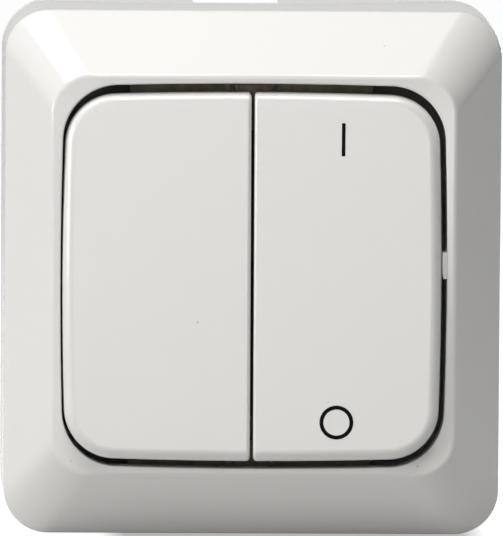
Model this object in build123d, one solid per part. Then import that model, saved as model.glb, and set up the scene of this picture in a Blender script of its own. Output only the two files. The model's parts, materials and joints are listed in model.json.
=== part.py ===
from build123d import *
import os
from math import cos, radians, sin, tan

# A surface mount wall switch with two large rockers. Sizes are millimetres and angles are degrees.
# Pieces are modelled lying on their backs: x to the right, y up the wall, z out of the wall.
# The last lines turn them upright, so that the wall is the plane y = 0 and +Z is up.

# Box outline at the wall, and the sides that lean in towards the front
body_width = 80.0
body_height = 84.5
body_corner_radius = 7.8
side_draft = 1.5
front_edge_depth = 29.0
front_edge_round = 0.7

# Front slopes, the ridge where they end, and the shallow lip that falls from it to the opening
slope_height = 9.0
ridge_corner_radius = 6.1
ridge_round = 0.8
lip_side = 1.3
lip_end = 1.1
lip_drop = 0.1
lip_round = 0.25
opening_width = 60.78
opening_height = 60.67
opening_corner_radius = 8.8
opening_bow = 0.6

# Walls of the cover, the collar behind the opening and the rib on the collar's right side
cover_wall = 1.8
slope_shift = 0.8
collar_wall = 1.6
collar_length = 4.6
rib_width = 4.2
rib_reach = 0.55
rib_length = 3.0
rib_height_on_wall = 1.8

# Parting line between base and cover, arched at the top and bottom of the box
parting_depth = 5.0
parting_gap = 0.3
arch_span = 64.0
arch_rise = 8.0
tongue_wall = 1.4
tongue_height = 2.5
tongue_fit = 0.15

# Snap hooks on the cover's side walls, in windows of the base's tongue
hook_length = 8.0
hook_reach = 0.9
hook_height = 1.2
hook_land = 0.4
hook_offset = 20.0
hook_fit = 0.3

# Wall base: floor, cable knock-outs, wall screw holes and screw posts
floor_thickness = 2.2
knockout_width = 13.8
knockout_height = 10.0
knockout_position = -2.4
knockout_recess = 0.5
knockout_web = 0.8
rear_knockout_diameter = 18.0
rear_knockout_offset = 15.0
rear_knockout_groove = 0.9
wall_screw_spacing = 54.0
wall_screw_hole_radius = 2.25
wall_screw_boss_radius = 4.5
wall_screw_boss_height = 1.0
post_radius = 4.0
post_bore_depth = 12.0
pad_radius = 2.5
pad_inset = 5.0

# How the mechanism sits in the opening: a little to the left and low
insert_shift_x = -0.27
insert_shift_y = -0.26

# Rockers
side_gap = 0.59
end_gap = 1.3
seam = 0.5
seam_round = 0.6
rocker_corner_radius = 8.05
hollow_corner_radius = 1.2
face_stand = 1.4
rocker_edge_round = 1.75
rocker_wall = 1.6
rocker_top_wall = 2.0
rocker_skirt = 6.2
rocker_tilt = 3.0

# Actuators under the rockers, their trunnions and the clips that hold the rockers on
face_above_pivot = 6.4
trunnion_radius = 1.5
trunnion_fit = 0.05
actuator_length = 16.0
actuator_end_height = 3.2
actuator_flat = 3.5
hub_radius = 3.0
seat_gap = 0.05
clip_width = 6.0
clip_thickness = 1.2
clip_fit = 0.1
clip_hook = 0.7

# Bearing frame with its ears, stops and legs
pivot_height = 6.0
frame_thickness = 2.0
frame_margin = 0.7
ear_thickness = 2.0
ear_width = 6.0
ear_rise = 2.2
ear_gap = 0.3
ear_room = 1.0
ear_slot = 2.6
seam_room = 1.05
stop_width = 3.0
stop_thickness = 2.0
stop_gap = 0.05
stop_offset = 7.5
leg_width = 6.0
leg_thickness = 1.2
leg_length = 8.0
leg_hook = 0.6
leg_fit = 0.15
leg_offset = 10.0
window_room = 0.4

# Mounting plate and its screws
plate_thickness = 1.0
plate_tongue_width = 38.5
plate_rim = 2.4
plate_corner_radius = 2.0
plate_screw_spacing = 60.0
plate_screw_radius = 1.75
plate_screw_length = 11.0
plate_screw_head_radius = 3.0
plate_screw_head_height = 2.2
plate_slot_length = 8.0
plate_slot_room = 0.35
thread_fit = 0.05

# Poles: where the blades and plungers stand across the switch
pole_centre = 14.0
pole_pitch = 9.0
common_offset = 9.5

# Plungers and their springs
plunger_reach = 16.0
plunger_radius = 2.0
plunger_tip_radius = 1.2
plunger_length = 9.0
plunger_fit = 0.15
plunger_tip_gap = 0.05
tube_wall = 1.1
tube_clear = 3.5
spring_length = 7.0
spring_radius = 1.5
spring_wire = 0.6
spring_turns = 4

# Contact blades, silver contacts and the strips that carry them
blade_width = 4.0
blade_thickness = 1.0
blade_arm = 7.0
blade_end = 1.4
blade_tilt = 8.0
lug_radius = 0.7
lug_fit = 0.05
contact_radius = 1.2
contact_height = 0.8
contact_gap = 0.03
strip_width = 4.4
strip_thickness = 1.0
cradle_gap = 0.3
cradle_wall = 0.8
cradle_width = 3.4
cradle_rise = 0.9

# Rising clamps and their screws
terminal_offset = 17.0
clamp_length = 5.0
clamp_wall = 0.9
clamp_fit = 0.2
wire_space = 3.2
screw_space = 1.6
terminal_screw_radius = 1.5
terminal_head_radius = 2.7
terminal_head_height = 2.0
terminal_head_gap = 0.6
screw_slot_width = 0.8
screw_slot_depth = 1.0

# Switch housing
housing_wall = 1.6
housing_side_room = 1.6
housing_end_room = 0.9
housing_corner_radius = 2.0
partition_wall = 1.2
bed_width = 3.6
clamp_clear = 0.3
wire_entry_radius = 1.7

# Depths from the wall, worked out from the front of the switch backwards
ridge_depth = front_edge_depth + slope_height
lip_depth = ridge_depth - lip_drop
face_depth = ridge_depth + face_stand
pivot_depth = face_depth - face_above_pivot
frame_front = pivot_depth - pivot_height
frame_back = frame_front - frame_thickness
plate_back = frame_back - plate_thickness
cap_underside = face_depth - rocker_top_wall
actuator_front = cap_underside - seat_gap
actuator_end_back = actuator_front - actuator_end_height
blade_front = pivot_depth - plunger_reach
blade_axis = blade_front - blade_thickness / 2
plunger_back = blade_front + plunger_tip_gap
plunger_front = plunger_back + plunger_length
bore_front = plunger_front + spring_length + 2 * seat_gap
tube_back = blade_front + tube_clear
blade_drop = (blade_arm + contact_radius) * sin(radians(blade_tilt))
contact_drop = blade_drop + (blade_thickness / 2 + contact_height) * cos(radians(blade_tilt))
fixed_contact_front = blade_axis - contact_drop - contact_gap
strip_front = fixed_contact_front - contact_height
strip_back = strip_front - strip_thickness
clamp_front = strip_front + screw_space + clamp_wall
clamp_back = strip_back - wire_space - clamp_wall
housing_floor = clamp_back - clamp_clear
housing_back = housing_floor - housing_wall

# Sizes across the switch that follow from the ones above
ridge_width = opening_width + 2 * lip_side
ridge_height = opening_height + 2 * lip_end
pair_width = opening_width - 2 * side_gap
pair_height = opening_height - 2 * end_gap
clamp_half = strip_width / 2 + clamp_fit + clamp_wall
line_x = pole_centre - pole_pitch / 2
neutral_x = pole_centre + pole_pitch / 2
left_x = -pole_centre
common_x = left_x + common_offset
housing_half_width = neutral_x + clamp_half + housing_side_room + housing_wall
housing_half_height = terminal_offset + clamp_length / 2 + housing_end_room + housing_wall
inner_ear_edge = seam / 2 + rocker_wall + seam_room
outer_ear_edge = pair_width / 2 - rocker_wall - ear_room
actuator_inner = inner_ear_edge + ear_thickness + ear_gap
actuator_outer = outer_ear_edge - ear_thickness - ear_gap
actuator_middle = (actuator_inner + actuator_outer) / 2
leg_inner_face = housing_half_width + leg_fit
leg_outer_face = leg_inner_face + leg_thickness
frame_half_width = max(leg_outer_face, outer_ear_edge) + frame_margin
frame_half_height = housing_half_height + frame_margin
plate_half_width = leg_outer_face + plate_rim
plate_half_height = housing_half_height + frame_margin
plate_screw_y = plate_screw_spacing / 2
plate_reach = plate_screw_y + plate_screw_head_radius + frame_margin
bore_radius = plunger_radius + plunger_fit
tube_radius = bore_radius + tube_wall
arch_radius = (arch_span**2 / 4 + arch_rise**2) / (2 * arch_rise)
tongue_front = parting_depth + arch_rise + tongue_height

# A cutting block that reaches past every piece, and the band in which an edge counts as level
reach = 2 * max(body_width, body_height)
level_band = 0.01


def prism(sketch, back, front):
    """Straight solid of a flat outline between two depths from the wall."""
    return extrude(Pos(0, 0, back) * sketch, front - back)


def block(x_low, x_high, y_low, y_high, back, front):
    """Straight-sided block given by its limits."""
    centre = Pos((x_low + x_high) / 2, (y_low + y_high) / 2, (back + front) / 2)
    return centre * Box(x_high - x_low, y_high - y_low, front - back)


def rod(radius, x, y, back, front):
    """Round pin that points out of the wall."""
    return Pos(x, y, (back + front) / 2) * Cylinder(radius, front - back)


def cross_rod(radius, x_low, x_high, depth):
    """Round pin across the switch, at mid-height."""
    return Pos((x_low + x_high) / 2, 0, depth) * Rot(0, 90, 0) * Cylinder(radius, x_high - x_low)


def outline(width, height, radius, bow=0.0):
    """Rounded rectangle whose sides bulge by bow at their middles."""
    x, y = width / 2, height / 2
    if bow == 0.0:
        return RectangleRounded(width, height, radius)
    left, right, low, high = -x + bow, x - bow, -y + bow, y - bow
    sides = [
        ThreePointArc((left, low), (0, -y), (right, low)),
        ThreePointArc((right, low), (x, 0), (right, high)),
        ThreePointArc((right, high), (0, y), (left, high)),
        ThreePointArc((left, high), (-x, 0), (left, low)),
    ]
    face = make_face(Curve() + sides)
    return fillet(face.vertices(), radius)


def box_outline(depth, inset=0.0):
    """The box's drafted outline at a depth from the wall, moved inwards by inset."""
    inwards = depth * tan(radians(side_draft)) + inset
    return outline(body_width - 2 * inwards, body_height - 2 * inwards, body_corner_radius - inwards)


def stack(sections):
    """Straight-lined solid through outlines at given depths."""
    return loft([Pos(0, 0, depth) * sketch for depth, sketch in sections], ruled=True)


def behind_parting(rise):
    """Everything behind the parting surface, moved outwards by rise."""
    slab = block(-reach, reach, -reach, reach, -reach, parting_depth + rise)
    axis_depth = parting_depth + arch_rise - arch_radius
    arch = Pos(0, 0, axis_depth) * Rot(90, 0, 0) * Cylinder(arch_radius + rise, 2 * reach)
    return slab + arch


def edges_at(shape, depth):
    """Edges that lie flat at one depth from the wall."""
    return shape.edges().filter_by_position(Axis.Z, depth - level_band, depth + level_band)


def opening_outline(grow=0.0):
    """Outline of the cover's opening at its lip, moved outwards by grow."""
    return outline(
        opening_width + 2 * grow,
        opening_height + 2 * grow,
        opening_corner_radius + grow,
        opening_bow,
    )


def slope_outline(share, inset=0.0):
    """Outline of the front slopes: share 0 at the front edge, 1 at the ridge, more beyond it."""
    lean = front_edge_depth * tan(radians(side_draft))
    edge = (body_width - 2 * lean, body_height - 2 * lean, body_corner_radius - lean)
    ridge = (ridge_width, ridge_height, ridge_corner_radius)
    width, height, radius = (a + (b - a) * share for a, b in zip(edge, ridge))
    return outline(width - 2 * inset, height - 2 * inset, radius - inset)


def build_cover():
    overrun = 1.1
    shape = stack(
        [
            (0.0, box_outline(0.0)),
            (front_edge_depth, slope_outline(0.0)),
            (front_edge_depth + slope_height * overrun, slope_outline(overrun)),
        ]
    )
    lip = opening_outline()
    shape -= stack(
        [
            (lip_depth, lip),
            (ridge_depth, slope_outline(1.0)),
            (ridge_depth + slope_height * overrun, slope_outline(0.0)),
        ]
    )
    shape = fillet(edges_at(shape, ridge_depth), ridge_round)
    shape = fillet(edges_at(shape, front_edge_depth), front_edge_round)
    cavity = stack(
        [
            (0.0, box_outline(0.0, cover_wall)),
            (front_edge_depth - slope_shift, slope_outline(0.0, cover_wall)),
            (ridge_depth - slope_shift, slope_outline(1.0, cover_wall)),
        ]
    )
    collar = prism(opening_outline(collar_wall), lip_depth - collar_length, ridge_depth)
    shape -= cavity - collar
    shape -= prism(lip, 0.0, ridge_depth)
    shape = fillet(edges_at(shape, lip_depth), lip_round)
    shape -= behind_parting(parting_gap)
    rib_face = opening_width / 2
    rib_front = lip_depth - rib_reach
    shape += block(
        rib_face - rib_reach,
        rib_face + collar_wall / 2,
        rib_height_on_wall - rib_width / 2,
        rib_height_on_wall + rib_width / 2,
        rib_front - rib_length,
        rib_front,
    )
    for hook in snap_hooks(0.0):
        shape += hook
    return shape


def snap_hooks(room):
    """The cover's four snap hooks, or with some room round them the windows that they enter."""
    back = parting_depth + tongue_height / 2 - hook_height / 2
    lean = (back + hook_height) * tan(radians(side_draft))
    wall_face = body_width / 2 - lean - cover_wall
    hooks = []
    for side in (-1, 1):
        for end in (-1, 1):
            profile = Polyline(
                (wall_face + cover_wall / 2, back - room),
                (wall_face - hook_reach - room, back + hook_height - hook_land - room),
                (wall_face - hook_reach - room, back + hook_height + room),
                (wall_face + cover_wall / 2, back + hook_height + room),
                close=True,
            )
            start = end * hook_offset + hook_length / 2 + room
            hook = extrude(Plane.XZ.offset(-start) * make_face(profile), hook_length + 2 * room)
            hooks.append(hook if side > 0 else mirror(hook, Plane.YZ))
    return hooks


def build_base():
    shape = stack([(0.0, box_outline(0.0)), (front_edge_depth, box_outline(front_edge_depth))])
    tongue_inset = cover_wall + tongue_fit
    tongue = prism(box_outline(tongue_front, tongue_inset), 0.0, front_edge_depth)
    shape = (shape & behind_parting(0.0)) + (tongue & behind_parting(tongue_height))
    inside = box_outline(tongue_front, tongue_inset + tongue_wall)
    shape -= prism(inside, floor_thickness, front_edge_depth)
    for window in snap_hooks(hook_fit):
        shape -= window
    for end in (-1, 1):
        shape -= cable_knockout(end)
    for side in (-1, 1):
        x = side * wall_screw_spacing / 2
        boss_front = floor_thickness + wall_screw_boss_height
        shape += rod(wall_screw_boss_radius, x, 0, floor_thickness / 2, boss_front)
        shape -= rod(wall_screw_hole_radius, x, 0, 0, boss_front)
    for end in (-1, 1):
        y = end * plate_screw_y
        shape += rod(post_radius, 0, y, floor_thickness / 2, plate_back)
        shape -= rod(plate_screw_radius + thread_fit, 0, y, plate_back - post_bore_depth, plate_back)
    for side in (-1, 1):
        for end in (-1, 1):
            x = insert_shift_x + side * (housing_half_width - pad_inset)
            y = insert_shift_y + end * (housing_half_height - pad_inset)
            shape += rod(pad_radius, x, y, floor_thickness / 2, housing_back)
    ring = Circle(rear_knockout_diameter / 2) - Circle(rear_knockout_diameter / 2 - rear_knockout_groove)
    groove = Pos(0, -rear_knockout_offset) * ring
    return shape - prism(groove, 0.0, floor_thickness - knockout_web)


def cable_knockout(end):
    """What is taken from the base's end wall to leave a thin web, sunk a little on the outside."""
    outer_face = body_height / 2
    web_outer = outer_face - knockout_recess - knockout_height * tan(radians(side_draft))
    web_inner = web_outer - knockout_web
    low, high = knockout_position - knockout_width / 2, knockout_position + knockout_width / 2
    inner_limit = outer_face - cover_wall - 2 * tongue_wall - tongue_front * tan(radians(side_draft))
    outside = block(low, high, web_outer, outer_face + knockout_recess, 0.0, knockout_height)
    inside = block(low, high, inner_limit, web_inner, floor_thickness, knockout_height)
    cut = outside + inside
    return cut if end > 0 else mirror(cut, Plane.XZ)


def pair_outline(inset):
    """Common outline of the two rockers, moved inwards by inset."""
    return outline(
        pair_width - 2 * inset,
        pair_height - 2 * inset,
        rocker_corner_radius - inset,
        opening_bow,
    )


def build_rocker(side):
    skirt_back = face_depth - rocker_skirt
    shape = prism(pair_outline(0.0), skirt_back, face_depth)
    shape = fillet(edges_at(shape, face_depth), rocker_edge_round)
    shape &= block(seam / 2, reach, -reach, reach, 0.0, reach)
    seam_edges = shape.faces().sort_by(Axis.X)[0].edges()
    shape = fillet([e for e in seam_edges if e.center().Z > skirt_back + level_band], seam_round)
    hollow = pair_outline(rocker_wall) & (Pos(seam / 2 + rocker_wall + reach / 2) * Rectangle(reach, reach))
    hollow = fillet(hollow.vertices().sort_by(Axis.X)[:2], hollow_corner_radius)
    shape -= prism(hollow, skirt_back, cap_underside)
    shape = shape if side > 0 else mirror(shape, Plane.YZ)
    x = side * actuator_middle
    for end in (-1, 1):
        inner = actuator_length / 2 + clip_fit
        clip_profile = Polyline(
            (inner, cap_underside + rocker_top_wall / 2),
            (inner, actuator_end_back - clip_fit),
            (inner - clip_hook, actuator_end_back - clip_fit),
            (inner, actuator_end_back - clip_fit - 2 * clip_hook),
            (inner + clip_thickness, actuator_end_back - clip_fit - 2 * clip_hook),
            (inner + clip_thickness, cap_underside + rocker_top_wall / 2),
            close=True,
        )
        start = Plane.YZ.offset(x - clip_width / 2)
        clip = extrude(start * make_face(clip_profile), clip_width)
        shape += clip if end > 0 else mirror(clip, Plane.XZ)
    return shape


def build_actuator(side, poles):
    half = actuator_length / 2
    flat_edge = half - actuator_flat
    profile = Polyline(
        (-half, actuator_front),
        (-half, actuator_end_back),
        (-flat_edge, actuator_end_back),
        (-hub_radius, pivot_depth - hub_radius),
        (hub_radius, pivot_depth - hub_radius),
        (flat_edge, actuator_end_back),
        (half, actuator_end_back),
        (half, actuator_front),
        close=True,
    )
    low, high = sorted((side * actuator_inner, side * actuator_outer))
    shape = extrude(Plane.YZ.offset(low) * make_face(profile), high - low)
    trunnion = ear_gap + ear_thickness
    shape += cross_rod(trunnion_radius, low - trunnion, high + trunnion, pivot_depth)
    for x in poles:
        shape += rod(tube_radius, x, 0, tube_back, pivot_depth)
        shape -= rod(bore_radius, x, 0, tube_back, bore_front)
    return shape


def build_bearing_frame():
    shape = prism(
        RectangleRounded(2 * frame_half_width, 2 * frame_half_height, housing_corner_radius),
        frame_back,
        frame_front,
    )
    swing = (pivot_depth - plate_back) * sin(radians(rocker_tilt))
    for x in (left_x, line_x, neutral_x):
        across = tube_radius + window_room
        along = across + swing
        shape -= block(x - across, x + across, -along, along, frame_back, frame_front)
    for x, y in terminal_places():
        shape -= rod(terminal_head_radius + window_room, x, y, frame_back, frame_front)
    for side in (-1, 1):
        for edge in (inner_ear_edge, outer_ear_edge - ear_thickness):
            low, high = sorted((side * edge, side * (edge + ear_thickness)))
            shape += bearing_ear(low, high)
        for along in (-stop_offset, stop_offset):
            for end in (-1, 1):
                shape += rocker_stop(side * actuator_middle + along, end)
        for end in (-1, 1):
            shape += frame_leg(side, end)
    return shape


def bearing_ear(low, high):
    """Upright ear with a bore for a trunnion and a narrower slot to snap it in through."""
    front = pivot_depth + ear_rise
    ear = block(low, high, -ear_width / 2, ear_width / 2, frame_back, front)
    front_corners = ear.edges().filter_by(Axis.X).group_by(Axis.Z)[-1]
    ear = fillet(front_corners, ear_rise / 2)
    ear -= cross_rod(trunnion_radius + trunnion_fit, low, high, pivot_depth)
    return ear - block(low, high, -ear_slot / 2, ear_slot / 2, pivot_depth, front)


def rocker_stop(x, end):
    """Post that the actuator's flat end comes down on when the rocker is pressed."""
    outer = actuator_length / 2 - stop_thickness / 4
    tilt = radians(rocker_tilt)
    landing = pivot_depth + (actuator_end_back - pivot_depth) * cos(tilt) - outer * sin(tilt)
    low, high = sorted((end * outer, end * (outer - stop_thickness)))
    return block(x - stop_width / 2, x + stop_width / 2, low, high, frame_back, landing - stop_gap)


def frame_leg(side, end):
    """Snap leg that clips the bearing frame to the housing's side wall."""
    hook_front = plate_back - leg_length + 2 * leg_hook
    profile = Polyline(
        (leg_inner_face, frame_front - frame_thickness / 2),
        (leg_inner_face, hook_front),
        (leg_inner_face - leg_fit - leg_hook, hook_front),
        (leg_inner_face, plate_back - leg_length),
        (leg_outer_face, plate_back - leg_length),
        (leg_outer_face, frame_front - frame_thickness / 2),
        close=True,
    )
    start = Plane.XZ.offset(-(end * leg_offset + leg_width / 2))
    leg = extrude(start * make_face(profile), leg_width)
    return leg if side > 0 else mirror(leg, Plane.YZ)


def build_mounting_plate():
    shape = Rectangle(2 * plate_half_width, 2 * plate_half_height)
    shape += Rectangle(plate_tongue_width, 2 * plate_reach)
    shape = fillet(shape.vertices(), plate_corner_radius)
    window_width = 2 * (housing_half_width - housing_wall)
    window_height = 2 * (housing_half_height - housing_wall)
    shape -= RectangleRounded(window_width, window_height, housing_corner_radius)
    leg_slot_width = leg_thickness + 2 * leg_fit
    for side in (-1, 1):
        for end in (-1, 1):
            x = side * (leg_inner_face + leg_thickness / 2)
            shape -= Pos(x, end * leg_offset) * Rectangle(leg_slot_width, leg_width + 2 * leg_fit)
    slot_height = 2 * (plate_screw_radius + plate_slot_room)
    for end in (-1, 1):
        place = Pos(-insert_shift_x, end * plate_screw_y - insert_shift_y)
        shape -= place * SlotOverall(plate_slot_length, slot_height)
    return prism(shape, plate_back, frame_back)


def build_housing():
    width, height = 2 * housing_half_width, 2 * housing_half_height
    shape = prism(RectangleRounded(width, height, housing_corner_radius), housing_back, plate_back)
    inner = Rectangle(width - 2 * housing_wall, height - 2 * housing_wall)
    shape -= prism(inner, housing_floor, plate_back)
    inner_end = housing_half_height - housing_wall / 2
    for x in ((left_x + common_x) / 2, (common_x + line_x) / 2, pole_centre):
        low, high = x - partition_wall / 2, x + partition_wall / 2
        shape += block(low, high, -inner_end, inner_end, housing_floor - housing_wall / 2, plate_back)
    bed_end = terminal_offset - clamp_length / 2 - clamp_clear
    bed_low = housing_floor - housing_wall / 2
    for x in (left_x, line_x, neutral_x):
        shape += block(x - bed_width / 2, x + bed_width / 2, -bed_end, bed_end, bed_low, strip_back)
    half_bed = bed_width / 2
    shape += block(left_x, common_x + half_bed, -half_bed, half_bed, bed_low, strip_back)
    shape += block(common_x - half_bed, common_x + half_bed, -bed_end, half_bed, bed_low, strip_back)
    notch = strip_width / 2 + clamp_fit
    shape -= block(left_x, common_x, -notch, notch, strip_back, plate_back)
    for x, y in terminal_places():
        wire_depth = strip_back - wire_space / 2
        low, high = sorted((y, 2 * y))
        entry = Plane.XZ.offset(-high) * Pos(x, wire_depth) * Circle(wire_entry_radius)
        shape -= extrude(entry, high - low)
    pocket_front = plate_back - leg_length + 2 * leg_hook + leg_fit
    pocket_back = plate_back - leg_length - leg_fit
    for side in (-1, 1):
        for end in (-1, 1):
            outer, inner = side * housing_half_width, side * (housing_half_width - leg_hook - leg_fit)
            low, high = sorted((outer, inner))
            y_low = end * leg_offset - leg_width / 2 - leg_fit
            y_high = end * leg_offset + leg_width / 2 + leg_fit
            shape -= block(low, high, y_low, y_high, pocket_back, pocket_front)
    return shape


def terminal_places():
    """Where the clamps stand: a column for each pole and one for the left pole's common terminal."""
    columns = [(left_x, (-1, 1)), (common_x, (-1,)), (line_x, (-1, 1)), (neutral_x, (-1, 1))]
    return [(x, end * terminal_offset) for x, ends in columns for end in ends]


def build_plunger(x):
    taper = plunger_radius - plunger_tip_radius
    tip_edge = plunger_back + plunger_tip_radius
    tip = RadiusArc((0, plunger_back), (plunger_tip_radius, tip_edge), -plunger_tip_radius)
    sides = Polyline(
        (plunger_tip_radius, tip_edge),
        (plunger_radius, tip_edge + taper),
        (plunger_radius, plunger_front),
        (0, plunger_front),
        (0, plunger_back),
    )
    profile = make_face(Curve() + [tip, sides])
    return Pos(x, 0, 0) * revolve(Plane.XZ * profile, Axis.Z)


def build_spring(x):
    rise = spring_length - spring_wire
    path = Helix(rise / spring_turns, rise, spring_radius)
    start = Plane(path @ 0, z_dir=path % 0)
    coil = sweep(start * RegularPolygon(spring_wire / 2, 6), path, is_frenet=True)
    return Pos(x, 0, plunger_front + seat_gap + spring_wire / 2) * coil


def build_blade(x):
    half = blade_arm + blade_end
    back, front = blade_axis - blade_thickness / 2, blade_front
    shape = block(-blade_width / 2, blade_width / 2, -half, half, back, front)
    corners = shape.edges().filter_by(Axis.Z)
    shape = fillet(corners, blade_end / 2)
    lug_start = blade_width / 2 - lug_radius
    lug_end = blade_width / 2 + cradle_gap + cradle_wall + lug_fit
    for side in (-1, 1):
        low, high = sorted((side * lug_start, side * lug_end))
        shape += cross_rod(lug_radius, low, high, blade_axis)
    return Pos(x, 0, 0) * shape


def build_moving_contact(x, end):
    front = blade_axis - blade_thickness / 2
    return rod(contact_radius, x, end * blade_arm, front - contact_height, front)


def build_fixed_contact(x, end):
    y = end * blade_arm * cos(radians(blade_tilt))
    return rod(contact_radius, x, y, strip_front, fixed_contact_front)


def build_fixed_terminal(x, end):
    """Strip from under a blade's contact to its clamp."""
    inner = blade_arm - contact_radius - blade_end / 2
    low, high = sorted((end * inner, end * (terminal_offset + clamp_length / 2)))
    return block(x - strip_width / 2, x + strip_width / 2, low, high, strip_back, strip_front)


def build_cradle(x):
    """Two notched ears on a cross strip, which carry a blade by its lugs."""
    inner = blade_width / 2 + cradle_gap
    outer = inner + cradle_wall
    half = cradle_width / 2
    shape = block(-outer, outer, -half, half, strip_back, strip_front)
    notch = lug_radius + lug_fit
    front = blade_axis + cradle_rise
    for side in (-1, 1):
        low, high = sorted((side * inner, side * outer))
        ear = block(low, high, -half, half, strip_back, front)
        ear -= cross_rod(notch, low, high, blade_axis)
        shape += ear - block(low, high, -notch, notch, blade_axis, front)
    return Pos(x, 0, 0) * shape


def build_common_terminal(x):
    """Cradle of a right-hand pole with a strip up to its clamp."""
    end = terminal_offset + clamp_length / 2
    half = strip_width / 2
    return build_cradle(x) + block(x - half, x + half, 0.0, end, strip_back, strip_front)


def build_left_common_terminal():
    """Cradle of the left-hand pole with a strip to the side and down to its own clamp."""
    half = strip_width / 2
    end = terminal_offset + clamp_length / 2
    shape = build_cradle(left_x)
    shape += block(left_x, common_x + half, -half / 2, half / 2, strip_back, strip_front)
    return shape + block(common_x - half, common_x + half, -end, half, strip_back, strip_front)


def build_clamp(x, y):
    """Square ring round a strip's end, threaded for the screw in its front wall."""
    low, high = y - clamp_length / 2, y + clamp_length / 2
    opening = clamp_half - clamp_wall
    shape = block(x - clamp_half, x + clamp_half, low, high, clamp_back, clamp_front)
    inner_back, inner_front = clamp_back + clamp_wall, clamp_front - clamp_wall
    shape -= block(x - opening, x + opening, low, high, inner_back, inner_front)
    return shape - rod(terminal_screw_radius + thread_fit, x, y, inner_front, clamp_front)


def build_terminal_screw(x, y):
    back = clamp_front + terminal_head_gap
    front = back + terminal_head_height
    return slotted_screw(x, y, terminal_screw_radius, strip_front, terminal_head_radius, back, front)


def build_plate_screw(y):
    front = frame_back + plate_screw_head_height
    tip = frame_back - plate_screw_length
    return slotted_screw(0, y, plate_screw_radius, tip, plate_screw_head_radius, frame_back, front)


def slotted_screw(x, y, radius, tip, head_radius, head_back, head_front):
    """Plain-shanked screw with a slotted cylinder head."""
    shape = rod(radius, x, y, tip, head_back) + rod(head_radius, x, y, head_back, head_front)
    half = screw_slot_width / 2
    slot_back = head_front - screw_slot_depth
    return shape - block(x - head_radius, x + head_radius, y - half, y + half, slot_back, head_front)


def tip_rocker(shape):
    """Turns what moves with a rocker to its rest, with the top pressed in."""
    return shape.rotate(Axis((0, 0, pivot_depth), (1, 0, 0)), -rocker_tilt)


def tip_blade(shape):
    """Turns what moves with a blade to its rest, with the lower contact closed."""
    return shape.rotate(Axis((0, 0, blade_axis), (1, 0, 0)), blade_tilt)


def group(shapes):
    """Separate like pieces in one node."""
    return Compound([solid for shape in shapes for solid in shape.solids()])


def build_insert():
    """Every piece of the mechanism, about its own centre line."""
    poles = {"left": left_x, "line": line_x, "neutral": neutral_x}
    pieces = {
        "mounting_plate": build_mounting_plate(),
        "switch_housing": build_housing(),
        "bearing_frame": build_bearing_frame(),
        "left_rocker": tip_rocker(build_rocker(-1)),
        "right_rocker": tip_rocker(build_rocker(1)),
        "left_actuator": tip_rocker(build_actuator(-1, [left_x])),
        "right_actuator": tip_rocker(build_actuator(1, [line_x, neutral_x])),
        "left_common_terminal": build_left_common_terminal(),
        "left_upper_terminal": build_fixed_terminal(left_x, 1),
        "left_lower_terminal": build_fixed_terminal(left_x, -1),
        "line_common_terminal": build_common_terminal(line_x),
        "line_fixed_terminal": build_fixed_terminal(line_x, -1),
        "neutral_common_terminal": build_common_terminal(neutral_x),
        "neutral_fixed_terminal": build_fixed_terminal(neutral_x, -1),
        "terminal_clamps": group(build_clamp(x, y) for x, y in terminal_places()),
        "terminal_screws": group(build_terminal_screw(x, y) for x, y in terminal_places()),
    }
    closed_ends = {"left": (-1, 1), "line": (-1,), "neutral": (-1,)}
    fixed_contacts = []
    for pole, x in poles.items():
        ends = closed_ends[pole]
        pieces[f"{pole}_plunger"] = tip_rocker(build_plunger(x))
        pieces[f"{pole}_plunger_spring"] = tip_rocker(build_spring(x))
        pieces[f"{pole}_contact_blade"] = tip_blade(build_blade(x))
        pieces[f"{pole}_moving_contacts"] = tip_blade(group(build_moving_contact(x, e) for e in ends))
        fixed_contacts += [build_fixed_contact(x, e) for e in ends]
    pieces["fixed_contacts"] = group(fixed_contacts)
    return pieces


def build_switch():
    """All pieces in place on the wall, by name."""
    shift = Pos(insert_shift_x, insert_shift_y, 0)
    pieces = {name: shift * shape for name, shape in build_insert().items()}
    pieces["plate_screws"] = group(build_plate_screw(end * plate_screw_y) for end in (-1, 1))
    pieces["wall_base"] = build_base()
    pieces["front_cover"] = build_cover()
    return {name: Plane.XZ.location * shape for name, shape in pieces.items()}


os.makedirs("parts", exist_ok=True)
for node, shape in build_switch().items():
    export_step(shape, f"parts/{node}.step")
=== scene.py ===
"""Finishes, printed marks, springs, light and camera for a surface mount wall switch with two rockers."""

import json
import math

import bpy
from mathutils import Matrix, Vector


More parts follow.
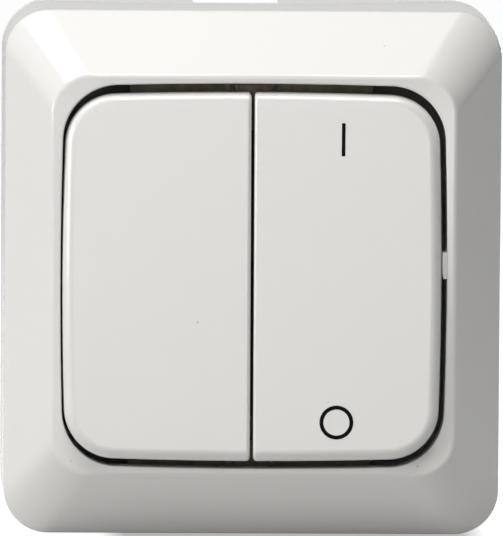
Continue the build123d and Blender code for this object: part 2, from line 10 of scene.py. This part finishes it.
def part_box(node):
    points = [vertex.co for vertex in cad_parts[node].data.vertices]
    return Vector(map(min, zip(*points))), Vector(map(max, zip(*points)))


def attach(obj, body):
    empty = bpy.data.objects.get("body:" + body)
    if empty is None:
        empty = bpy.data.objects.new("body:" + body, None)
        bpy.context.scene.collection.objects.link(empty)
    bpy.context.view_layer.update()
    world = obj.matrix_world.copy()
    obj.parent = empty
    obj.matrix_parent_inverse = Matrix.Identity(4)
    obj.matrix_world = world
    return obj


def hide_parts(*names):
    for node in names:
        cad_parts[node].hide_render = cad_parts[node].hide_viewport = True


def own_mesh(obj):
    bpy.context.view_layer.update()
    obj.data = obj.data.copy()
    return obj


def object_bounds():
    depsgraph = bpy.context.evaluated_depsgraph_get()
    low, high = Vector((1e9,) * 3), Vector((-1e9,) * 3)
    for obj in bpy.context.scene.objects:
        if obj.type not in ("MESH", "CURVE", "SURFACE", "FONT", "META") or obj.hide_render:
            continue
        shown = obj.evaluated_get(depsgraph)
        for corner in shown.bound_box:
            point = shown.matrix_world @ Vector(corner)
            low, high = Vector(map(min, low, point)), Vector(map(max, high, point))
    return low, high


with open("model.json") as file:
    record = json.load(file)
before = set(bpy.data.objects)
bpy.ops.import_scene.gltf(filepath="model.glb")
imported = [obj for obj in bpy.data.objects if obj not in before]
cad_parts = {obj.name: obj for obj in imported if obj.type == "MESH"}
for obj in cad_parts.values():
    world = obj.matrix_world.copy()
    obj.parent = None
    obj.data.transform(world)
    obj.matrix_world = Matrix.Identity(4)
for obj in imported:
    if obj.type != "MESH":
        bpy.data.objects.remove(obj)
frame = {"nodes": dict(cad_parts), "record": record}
cad_low, cad_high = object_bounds()

MM = 0.001

# Printed marks on the right rocker, placed from the middle of the cover's opening
BAR_CENTRE = (13.95, 21.6)
BAR_SIZE = (0.57, 5.2)
BAR_CORNER = 0.12
BAR_LEAN = 0.006
RING_CENTRE = (13.05, -22.75)
RING_RADIUS = 2.66
RING_STROKE = 0.61
RING_SIDES = 96
INK_HEIGHT = 0.03
INK_EDGE = 0.008

# Springs behind the plungers, each with the body that carries it
SPRINGS = (("left", "left_rocker"), ("line", "right_rocker"), ("neutral", "right_rocker"))
SPRING_WIRE = 0.6
SPRING_RADIUS = 1.5
SPRING_TURNS = 4
SPRING_LENGTH = 7.0
WIRE_SIDES = 12
STEPS_PER_TURN = 28

# Mouldings: name, colour, mottle, specks and gloss
DUST = (0.50, 0.48, 0.44)
LINT = (0.10, 0.10, 0.095)
MOULDINGS = (
    ("cover_white", (0.80, 0.79, 0.765), (0.794, 0.784, 0.758), DUST, (0.115, 0.135)),
    ("base_white", (0.86, 0.85, 0.825), (0.852, 0.842, 0.816), DUST, (0.42, 0.48)),
    ("rocker_white", (0.80, 0.79, 0.765), (0.794, 0.784, 0.758), DUST, (0.125, 0.145)),
    # housing_grey and frame_grey are painted shade: near-black brown, darkened to stand in for the deep
    # shade in the gaps around the rockers.
    ("housing_grey", (0.046, 0.039, 0.020), (0.037, 0.031, 0.016), LINT, (0.50, 0.62)),
    ("frame_grey", (0.040, 0.034, 0.018), (0.032, 0.027, 0.014), LINT, (0.50, 0.62)),
    ("actuator_white", (0.70, 0.70, 0.68), (0.67, 0.67, 0.65), DUST, (0.40, 0.52)),
    ("plunger_black", (0.04, 0.04, 0.04), (0.03, 0.03, 0.032), LINT, (0.35, 0.50)),
)

# Metals: name, colour, stains and gloss
METALS = (
    # plate_zinc is painted shade: far darker than zinc, so the plate seen through the gaps stands in for
    # their deep shade.
    ("plate_zinc", (0.170, 0.150, 0.108), (0.124, 0.109, 0.078), (0.35, 0.55)),
    ("spring_steel", (0.55, 0.55, 0.56), (0.45, 0.45, 0.46), (0.20, 0.34)),
    ("screw_steel", (0.62, 0.62, 0.62), (0.52, 0.52, 0.50), (0.25, 0.40)),
    ("terminal_brass", (0.72, 0.55, 0.28), (0.60, 0.44, 0.22), (0.25, 0.40)),
    ("blade_brass", (0.74, 0.50, 0.30), (0.62, 0.40, 0.24), (0.25, 0.40)),
    ("contact_silver", (0.85, 0.85, 0.84), (0.70, 0.69, 0.66), (0.18, 0.32)),
)

# Specks of dust on the mouldings
SPECK_SPACING = 5.0
SPECK_SIZE = 0.30
SPECK_SHARE = 0.35

# Camera, from the middle of the switch's back
CAMERA_PLACE = (-31.68, -1300.0, 88.4)
CAMERA_AIM = (-0.256, -33.0, 0.994)
CAMERA_ROLL = 0.0065
CAMERA_LENS = 540.85
CAMERA_SENSOR = 36.0

# Lamps: name, place, point lit, width, height (metres) and power (watts)
LAMPS = (
    ("key_softbox", (-0.275, -0.235, 0.635), (0.0, -0.035, 0.0), 0.24, 0.40, 2.12),
    ("top_softbox", (0.040, -0.330, 0.610), (0.0, -0.035, 0.0), 0.24, 0.24, 1.85),
    ("ceiling_softbox", (0.0, -0.205, 0.673), (0.0, -0.035, 0.0), 0.24, 0.24, 0.40),
    ("side_softbox", (-0.620, -0.320, 0.120), (0.0, -0.035, 0.0), 0.30, 0.24, 1.95),
    ("front_softbox", (0.0, -0.728, 0.097), (0.0, -0.035, 0.0), 0.26, 0.26, 0.50),
    ("back_softbox", (0.340, 0.550, 0.100), (0.0, 0.0, 0.0), 0.30, 0.14, 1.70),
)
WORLD_LIGHT = 0.01
FLOOR_SIZE = 6.0
BACKDROP_HEIGHT = 1.5
FLOOR_ALBEDO = 0.5
FLOOR_GLOW = 0.97
MIRRORED_SHARE = 0.6

# Painted shadow: a strip of floor under the front edge of the box, where the floor's glow is lowered
SHADE_GLOW = 0.45
SHADE_CENTRE = 7.0
SHADE_HALF_WIDTH = 29.0
SHADE_DEPTH = 30.0
SHADE_SOFTNESS = 2.0


# Small helpers for node trees


def add_node(tree, kind, **inputs):
    """A node with its input values set by socket name, where a node output makes a link."""
    made = tree.nodes.new(kind)
    for name, value in inputs.items():
        set_input(tree, made, name.replace("_", " "), value)
    return made


def set_input(tree, made, name, value):
    socket = next(s for s in made.inputs if s.name == name)
    if isinstance(value, bpy.types.NodeSocket):
        tree.links.new(value, socket)
    else:
        socket.default_value = value


def add_math(tree, operation, first, second):
    made = tree.nodes.new("ShaderNodeMath")
    made.operation = operation
    for socket, value in zip(made.inputs, (first, second)):
        if isinstance(value, bpy.types.NodeSocket):
            tree.links.new(value, socket)
        else:
            socket.default_value = value
    return made.outputs[0]


def add_range(tree, value, low, high, to_low, to_high):
    """Maps a value from one range to another."""
    made = tree.nodes.new("ShaderNodeMapRange")
    for name, put in (
        ("Value", value),
        ("From Min", low),
        ("From Max", high),
        ("To Min", to_low),
        ("To Max", to_high),
    ):
        set_input(tree, made, name, put)
    return made.outputs["Result"]


def add_noise(tree, vector, size, detail=3.0):
    """Noise whose features are about size millimetres across."""
    scale = add_node(tree, "ShaderNodeVectorMath")
    scale.operation = "DIVIDE"
    tree.links.new(vector, scale.inputs[0])
    if isinstance(size, bpy.types.NodeSocket):
        metres = add_math(tree, "MULTIPLY", size, MM)
        tree.links.new(metres, scale.inputs[1])
    else:
        scale.inputs[1].default_value = (size * MM,) * 3
    made = add_node(tree, "ShaderNodeTexNoise", Vector=scale.outputs[0], Scale=1.0, Detail=detail)
    return made.outputs[0]


def mix_colour(tree, amount, first, second, blend="MIX"):
    made = tree.nodes.new("ShaderNodeMix")
    made.data_type = "RGBA"
    made.blend_type = blend
    colours = [s for s in made.inputs if s.type == "RGBA"]
    for socket, value in ((made.inputs[0], amount), (colours[0], first), (colours[1], second)):
        if isinstance(value, bpy.types.NodeSocket):
            tree.links.new(value, socket)
        else:
            socket.default_value = value
    return next(s for s in made.outputs if s.type == "RGBA")


def new_group(name, inputs, outputs):
    """Empty shader group with named sockets, given with its input and output nodes."""
    tree = bpy.data.node_groups.new(name, "ShaderNodeTree")
    for socket, kind in inputs:
        tree.interface.new_socket(socket, in_out="INPUT", socket_type=kind)
    for socket, kind in outputs:
        tree.interface.new_socket(socket, in_out="OUTPUT", socket_type=kind)
    return tree, tree.nodes.new("NodeGroupInput"), tree.nodes.new("NodeGroupOutput")


# Finishes that several materials share


def dust_specks(tree, place):
    """1 on a few tiny specks scattered over a surface, each somewhere in its own cell."""
    cells = add_node(tree, "ShaderNodeTexVoronoi", Vector=place, Scale=1.0 / (SPECK_SPACING * MM))
    near = add_math(tree, "LESS_THAN", cells.outputs["Distance"], 0.5 * SPECK_SIZE / SPECK_SPACING)
    chance = add_node(tree, "ShaderNodeSeparateColor", Color=cells.outputs["Color"])
    kept = add_math(tree, "LESS_THAN", chance.outputs[0], SPECK_SHARE)
    return add_math(tree, "MULTIPLY", near, kept)


def make_moulded_skin():
    """Skin of a moulded plastic: fine mottle, sparse specks of dust, a ripple and patches of gloss."""
    number, colour, vector = "NodeSocketFloat", "NodeSocketColor", "NodeSocketVector"
    tree, given, result = new_group(
        "moulded_skin",
        (
            ("Place", vector),
            ("Colour", colour),
            ("Mottle Colour", colour),
            ("Speck Colour", colour),
            ("Peel Size", number),
            ("Gloss Low", number),
            ("Gloss High", number),
        ),
        (("Colour", colour), ("Roughness", number), ("Height", number)),
    )
    place = given.outputs["Place"]
    mottle = add_range(tree, add_noise(tree, place, 0.45, 4.0), 0.3, 0.7, 0.0, 1.0)
    shade = mix_colour(tree, mottle, given.outputs["Colour"], given.outputs["Mottle Colour"])
    shade = mix_colour(tree, dust_specks(tree, place), shade, given.outputs["Speck Colour"])
    patches = add_noise(tree, place, 3.5, 2.0)
    gloss = add_range(tree, patches, 0.0, 1.0, given.outputs["Gloss Low"], given.outputs["Gloss High"])
    peel = add_noise(tree, place, given.outputs["Peel Size"], 2.0)
    tree.links.new(shade, result.inputs["Colour"])
    tree.links.new(gloss, result.inputs["Roughness"])
    tree.links.new(peel, result.inputs["Height"])
    return tree


def make_drawn_grain():
    """Grain of rolled, drawn or plated metal: fine lines along one direction with dull stains."""
    number, colour, vector = "NodeSocketFloat", "NodeSocketColor", "NodeSocketVector"
    tree, given, result = new_group(
        "drawn_grain",
        (
            ("Place", vector),
            ("Colour", colour),
            ("Stain Colour", colour),
            ("Stain Size", number),
            ("Gloss Low", number),
            ("Gloss High", number),
        ),
        (("Colour", colour), ("Roughness", number), ("Height", number)),
    )
    place = given.outputs["Place"]
    stretch = add_node(tree, "ShaderNodeMapping", Vector=place, Scale=(1.0, 1.0, 0.06))
    lines = add_noise(tree, stretch.outputs[0], 0.12, 2.0)
    stains = add_range(tree, add_noise(tree, place, given.outputs["Stain Size"], 5.0), 0.4, 0.7, 0.0, 1.0)
    shade = mix_colour(tree, stains, given.outputs["Colour"], given.outputs["Stain Colour"])
    gloss = add_range(tree, lines, 0.3, 0.7, given.outputs["Gloss Low"], given.outputs["Gloss High"])
    tree.links.new(shade, result.inputs["Colour"])
    tree.links.new(gloss, result.inputs["Roughness"])
    tree.links.new(lines, result.inputs["Height"])
    return tree


MOULDED_SKIN = make_moulded_skin()
DRAWN_GRAIN = make_drawn_grain()


def start_material(name, group, values, relief):
    """Material with one shared finish wired to its shader, and the relief in millimetres."""
    made = bpy.data.materials.new(name)
    made.use_nodes = True
    tree = made.node_tree
    shader = tree.nodes["Principled BSDF"]
    place = add_node(tree, "ShaderNodeTexCoord").outputs["Object"]
    finish = tree.nodes.new("ShaderNodeGroup")
    finish.node_tree = group
    tree.links.new(place, finish.inputs["Place"])
    for socket, value in values.items():
        finish.inputs[socket].default_value = value
    height = finish.outputs["Height"]
    bump = add_node(tree, "ShaderNodeBump", Strength=1.0, Distance=relief * MM, Height=height)
    tree.links.new(finish.outputs["Colour"], shader.inputs["Base Color"])
    tree.links.new(finish.outputs["Roughness"], shader.inputs["Roughness"])
    tree.links.new(bump.outputs[0], shader.inputs["Normal"])
    return made, shader


def moulding(name, colour, mottle, speck, gloss, peel_size=0.8, relief=0.0006):
    made, shader = start_material(
        name,
        MOULDED_SKIN,
        {
            "Colour": (*colour, 1.0),
            "Mottle Colour": (*mottle, 1.0),
            "Speck Colour": (*speck, 1.0),
            "Peel Size": peel_size,
            "Gloss Low": gloss[0],
            "Gloss High": gloss[1],
        },
        relief,
    )
    shader.inputs["IOR"].default_value = 1.5
    return made


def metal(name, colour, stain, gloss, relief=0.001, stain_size=2.0):
    made, shader = start_material(
        name,
        DRAWN_GRAIN,
        {
            "Colour": (*colour, 1.0),
            "Stain Colour": (*stain, 1.0),
            "Stain Size": stain_size,
            "Gloss Low": gloss[0],
            "Gloss High": gloss[1],
        },
        relief,
    )
    shader.inputs["Metallic"].default_value = 1.0
    return made


def finish_nodes():
    """Gives each CAD node the finish of its material slot, except the plate screws, which take the
    darkened plate finish as painted shade in the gaps.
    """
    finishes = {row[0]: moulding(*row) for row in MOULDINGS}
    finishes.update((row[0], metal(*row)) for row in METALS)
    for part in frame["record"]["subparts"]:
        # Painted shade: the plate screws take the darkened plate finish so that they sink into the shade
        # of the gaps.
        slot = "plate_zinc" if part["node"] == "plate_screws" else part["material_slot"]
        obj = frame["nodes"][part["node"]]
        obj.data.materials.clear()
        obj.data.materials.append(finishes[slot])
    return finishes


# Pieces modelled here


def take(piece):
    """Leaves only this piece selected and active."""
    bpy.ops.object.mode_set(mode="OBJECT")
    bpy.ops.object.select_all(action="DESELECT")
    piece.select_set(True)
    bpy.context.view_layer.objects.active = piece


def settle(piece, place):
    """Moves a finished piece to its place and puts that place into its mesh."""
    piece.matrix_world = place
    take(piece)
    bpy.ops.object.transform_apply(location=True, rotation=True, scale=True)


def thicken(height):
    """Raises the selected flat outline into a film and closes it outwards."""
    bpy.ops.mesh.select_all(action="SELECT")
    bpy.ops.mesh.extrude_region_move(TRANSFORM_OT_translate={"value": (0.0, 0.0, height)})
    bpy.ops.mesh.select_all(action="SELECT")
    bpy.ops.mesh.normals_make_consistent(inside=False)


def soften_edges(piece, width):
    """Rounds a piece's edges with a bevel."""
    take(piece)
    bevel = piece.modifiers.new("soft_edges", "BEVEL")
    bevel.width = width
    bevel.segments = 2
    bevel.limit_method = "ANGLE"
    bpy.ops.object.modifier_apply(modifier=bevel.name)
    bpy.ops.object.shade_smooth_by_angle()


def rocker_face(node):
    """A point on a rocker's flat face, and the way that the face looks."""
    mesh = frame["nodes"][node].data
    front = [p for p in mesh.polygons if p.normal.y < -0.99]
    outward = sum((p.normal * p.area for p in front), Vector()).normalized()
    level = max(outward.dot(p.center) for p in front)
    return outward * level, outward


def face_place(spot):
    """Places a flat piece on the right rocker's face, at x and height in millimetres."""
    point, outward = rocker_face("right_rocker")
    x, height = spot[0] * MM, spot[1] * MM
    depth = (point.dot(outward) - outward.x * x - outward.z * height) / outward.y
    right = Vector((1.0, 0.0, 0.0))
    up = outward.cross(right)
    turn = Matrix((right, up, outward)).transposed().to_4x4()
    return Matrix.Translation((x, depth, height)) @ turn


def print_bar(ink):
    """Upright bar of ink at the top of the right rocker."""
    bpy.ops.object.select_all(action="DESELECT")
    bpy.ops.mesh.primitive_plane_add(size=1.0)
    bar = bpy.context.object
    bar.name = bar.data.name = "on_bar_print"
    bpy.ops.object.mode_set(mode="EDIT")
    bpy.ops.mesh.select_all(action="SELECT")
    bpy.ops.transform.resize(value=(BAR_SIZE[0] * MM, BAR_SIZE[1] * MM, 1.0))
    bpy.ops.mesh.bevel(offset=BAR_CORNER * MM, segments=5, affect="VERTICES")
    thicken(INK_HEIGHT * MM)
    soften_edges(bar, INK_EDGE * MM)
    settle(bar, face_place(BAR_CENTRE) @ Matrix.Rotation(-BAR_LEAN, 4, "Z"))
    ink_on_rocker(bar, ink)


def print_ring(ink):
    """Ring of ink at the bottom of the right rocker."""
    bpy.ops.object.select_all(action="DESELECT")
    bpy.ops.mesh.primitive_circle_add(vertices=RING_SIDES, radius=RING_RADIUS * MM, fill_type="NGON")
    ring = bpy.context.object
    ring.name = ring.data.name = "off_ring_print"
    bpy.ops.object.mode_set(mode="EDIT")
    bpy.ops.mesh.select_all(action="SELECT")
    bpy.ops.mesh.inset(thickness=RING_STROKE * MM)
    bpy.ops.mesh.delete(type="FACE")
    thicken(INK_HEIGHT * MM)
    soften_edges(ring, INK_EDGE * MM)
    settle(ring, face_place(RING_CENTRE))
    ink_on_rocker(ring, ink)


def ink_on_rocker(piece, ink):
    piece.data.materials.clear()
    piece.data.materials.append(ink)
    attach(piece, "right_rocker")


def print_marks():
    black, worn = (0.004, 0.004, 0.004), (0.007, 0.007, 0.007)
    ink = moulding("pad_print_black", black, worn, worn, (0.60, 0.75), peel_size=0.2)
    ink.node_tree.nodes["Principled BSDF"].inputs["Specular IOR Level"].default_value = 0.04
    print_bar(ink)
    print_ring(ink)


def wind_coil():
    """One plunger spring, wound along z from a circle of wire."""
    bpy.ops.object.select_all(action="DESELECT")
    bpy.ops.mesh.primitive_circle_add(vertices=WIRE_SIDES, radius=SPRING_WIRE / 2 * MM)
    coil = bpy.context.object
    bpy.ops.object.mode_set(mode="EDIT")
    bpy.ops.mesh.select_all(action="SELECT")
    bpy.ops.transform.rotate(value=math.pi / 2, orient_axis="X", center_override=(0.0, 0.0, 0.0))
    bpy.ops.transform.translate(value=(SPRING_RADIUS * MM, 0.0, (SPRING_WIRE - SPRING_LENGTH) / 2 * MM))
    take(coil)
    wind = coil.modifiers.new("wind", "SCREW")
    wind.axis = "Z"
    wind.screw_offset = (SPRING_LENGTH - SPRING_WIRE) / SPRING_TURNS * MM
    wind.iterations = SPRING_TURNS
    wind.steps = wind.render_steps = STEPS_PER_TURN
    bpy.ops.object.modifier_apply(modifier=wind.name)
    bpy.ops.object.mode_set(mode="EDIT")
    bpy.ops.mesh.select_all(action="SELECT")
    bpy.ops.mesh.fill_holes(sides=0)
    bpy.ops.mesh.select_all(action="SELECT")
    bpy.ops.mesh.normals_make_consistent(inside=False)
    take(coil)
    bpy.ops.object.shade_smooth_by_angle()
    return coil


def twin(piece):
    """A copy of a piece with a mesh of its own."""
    made = piece.copy()
    made.data = piece.data.copy()
    bpy.context.scene.collection.objects.link(made)
    return made


def fit_springs(steel):
    """Puts a spring between each plunger and its actuator, drawn at rest length and carried by its
    rocker.
    """
    slides = {joint["name"]: joint for joint in frame["record"]["behaviour"]["joints"]}
    springs = [wind_coil()]
    springs += [twin(springs[0]) for _ in SPRINGS[1:]]
    for spring, (pole, body) in zip(springs, SPRINGS):
        node, joint = f"{pole}_plunger_spring", f"{pole}_plunger_slide"
        spring.name = spring.data.name = f"{pole}_spring_coil"
        along = Vector(slides[joint]["axis"]).normalized()
        low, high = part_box(node)
        middle = (Vector(low) + Vector(high)) / 2
        settle(spring, Matrix.Translation(middle) @ along.to_track_quat("Z", "X").to_matrix().to_4x4())
        spring.data.materials.clear()
        spring.data.materials.append(steel)
        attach(spring, body)
        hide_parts(node)
        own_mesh(spring)


# Floor, light and camera


def lay_floor():
    """Pale floor that turns up into a backdrop, keeps the switch's shadow and looks white, with a painted
    shadow strip under the box's front edge.
    """
    bpy.ops.object.select_all(action="DESELECT")
    bpy.ops.mesh.primitive_plane_add(size=FLOOR_SIZE, location=(0.0, 0.0, cad_low.z))
    floor = bpy.context.object
    floor.name = "pale_floor"
    for edge in floor.data.edges:
        edge.select = all(floor.data.vertices[i].co.y > 0.0 for i in edge.vertices)
    for point in floor.data.vertices:
        point.select = point.co.y > 0.0
    floor.data.polygons[0].select = False
    bpy.ops.object.mode_set(mode="EDIT")
    bpy.ops.mesh.extrude_region_move(TRANSFORM_OT_translate={"value": (0.0, 0.0, BACKDROP_HEIGHT)})
    bpy.ops.object.mode_set(mode="OBJECT")
    made = bpy.data.materials.new("pale_floor")
    made.use_nodes = True
    tree = made.node_tree
    tree.nodes.remove(tree.nodes["Principled BSDF"])
    paper = add_node(tree, "ShaderNodeBsdfDiffuse", Color=(FLOOR_ALBEDO,) * 3 + (1.0,))
    place = add_node(tree, "ShaderNodeTexCoord").outputs["Object"]
    spot = add_node(tree, "ShaderNodeSeparateXYZ", Vector=place)
    # Painted shadow: the floor's glow drops to SHADE_GLOW in a strip under the front edge of the box.
    sideways = add_math(tree, "SUBTRACT", spot.outputs["X"], SHADE_CENTRE * MM)
    beside = add_math(tree, "SUBTRACT", add_math(tree, "ABSOLUTE", sideways, 0.0), SHADE_HALF_WIDTH * MM)
    ahead = add_math(tree, "SUBTRACT", -SHADE_DEPTH * MM, spot.outputs["Y"])
    lengthways = add_math(tree, "MAXIMUM", ahead, spot.outputs["Y"])
    away = add_math(tree, "MAXIMUM", beside, lengthways)
    painted_shadow_glow = add_range(tree, away, -SHADE_SOFTNESS * MM, SHADE_SOFTNESS * MM, SHADE_GLOW, FLOOR_GLOW)
    seen = add_math(tree, "MULTIPLY", rays_that_look(tree), painted_shadow_glow)
    glow = add_node(tree, "ShaderNodeEmission", Strength=seen)
    both = tree.nodes.new("ShaderNodeAddShader")
    tree.links.new(paper.outputs[0], both.inputs[0])
    tree.links.new(glow.outputs[0], both.inputs[1])
    tree.links.new(both.outputs[0], tree.nodes["Material Output"].inputs["Surface"])
    floor.data.materials.append(made)


def rays_that_look(tree):
    """1 for rays that see the background straight or through something, and less for mirrored ones."""
    path = tree.nodes.new("ShaderNodeLightPath")
    mirrored = add_math(tree, "MULTIPLY", path.outputs["Is Glossy Ray"], MIRRORED_SHARE)
    looks = add_math(tree, "MAXIMUM", path.outputs["Is Camera Ray"], mirrored)
    return add_math(tree, "MAXIMUM", looks, path.outputs["Is Transmission Ray"])


def light_room():
    world = bpy.data.worlds.new("pale_room")
    bpy.context.scene.world = world
    world.use_nodes = True
    tree = world.node_tree
    path = tree.nodes.new("ShaderNodeLightPath")
    strength = add_range(tree, path.outputs["Is Camera Ray"], 0.0, 1.0, WORLD_LIGHT, 1.0)
    tree.links.new(strength, tree.nodes["Background"].inputs["Strength"])
    tree.nodes["Background"].inputs["Color"].default_value = (1.0, 1.0, 1.0, 1.0)
    for name, place, target, width, height, power in LAMPS:
        data = bpy.data.lights.new(name, "AREA")
        data.shape = "RECTANGLE"
        data.size, data.size_y = width, height
        data.energy = power
        lamp = bpy.data.objects.new(name, data)
        bpy.context.scene.collection.objects.link(lamp)
        lamp.location = place
        lamp.rotation_euler = (Vector(target) - Vector(place)).to_track_quat("-Z", "Y").to_euler()


def place_camera():
    data = bpy.data.cameras.new("photo_camera")
    data.sensor_fit = "VERTICAL"
    data.sensor_height = CAMERA_SENSOR
    data.lens = CAMERA_LENS
    data.clip_start = 0.05
    camera = bpy.data.objects.new("photo_camera", data)
    bpy.context.scene.collection.objects.link(camera)
    place, aim = Vector(CAMERA_PLACE) * MM, Vector(CAMERA_AIM) * MM
    level = (aim - place).to_track_quat("-Z", "Y").to_matrix().to_4x4()
    camera.matrix_world = Matrix.Translation(place) @ level @ Matrix.Rotation(CAMERA_ROLL, 4, "Z")
    bpy.context.scene.camera = camera


finishes = finish_nodes()
print_marks()
fit_springs(finishes["spring_steel"])
lay_floor()
light_room()
place_camera()
bpy.context.scene.view_settings.view_transform = "Standard"
